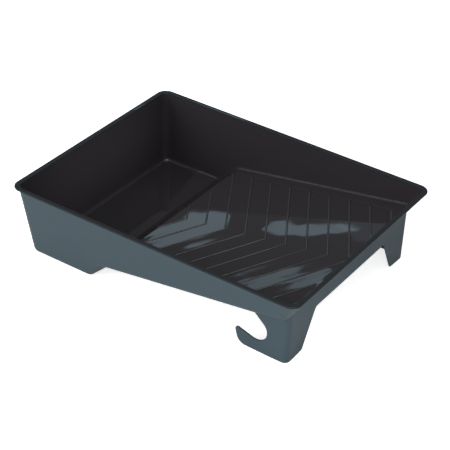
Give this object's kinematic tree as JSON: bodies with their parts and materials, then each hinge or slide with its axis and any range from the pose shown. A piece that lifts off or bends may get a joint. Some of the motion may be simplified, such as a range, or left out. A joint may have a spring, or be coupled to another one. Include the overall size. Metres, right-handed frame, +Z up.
{
  "type": "paint roller tray",
  "caption": "Flat-rimmed paint roller tray with a deep paint well, a sloping chevron-beaded roll-out ramp, and a frame with two ladder-hook legs under its shallow end.",
  "frame": {"origin": "on the ground plane, directly under the centre of the rim's plan rectangle", "axes": "+X along the tray from the deep well to the shallow end of the ramp, +Y across the tray to its left side when facing +X, +Z up"},
  "size_m": [0.4, 0.308, 0.0946],
  "materials": {
    "tray_plastic": "glossy on the inside and the flange, fine matt grain on the outside",
    "leg_plastic": "fine matt grain"
  },
  "bodies": {
    "root": {"tray_shell": "tray_plastic", "leg_frame": "leg_plastic"}
  },
  "joints": []
}
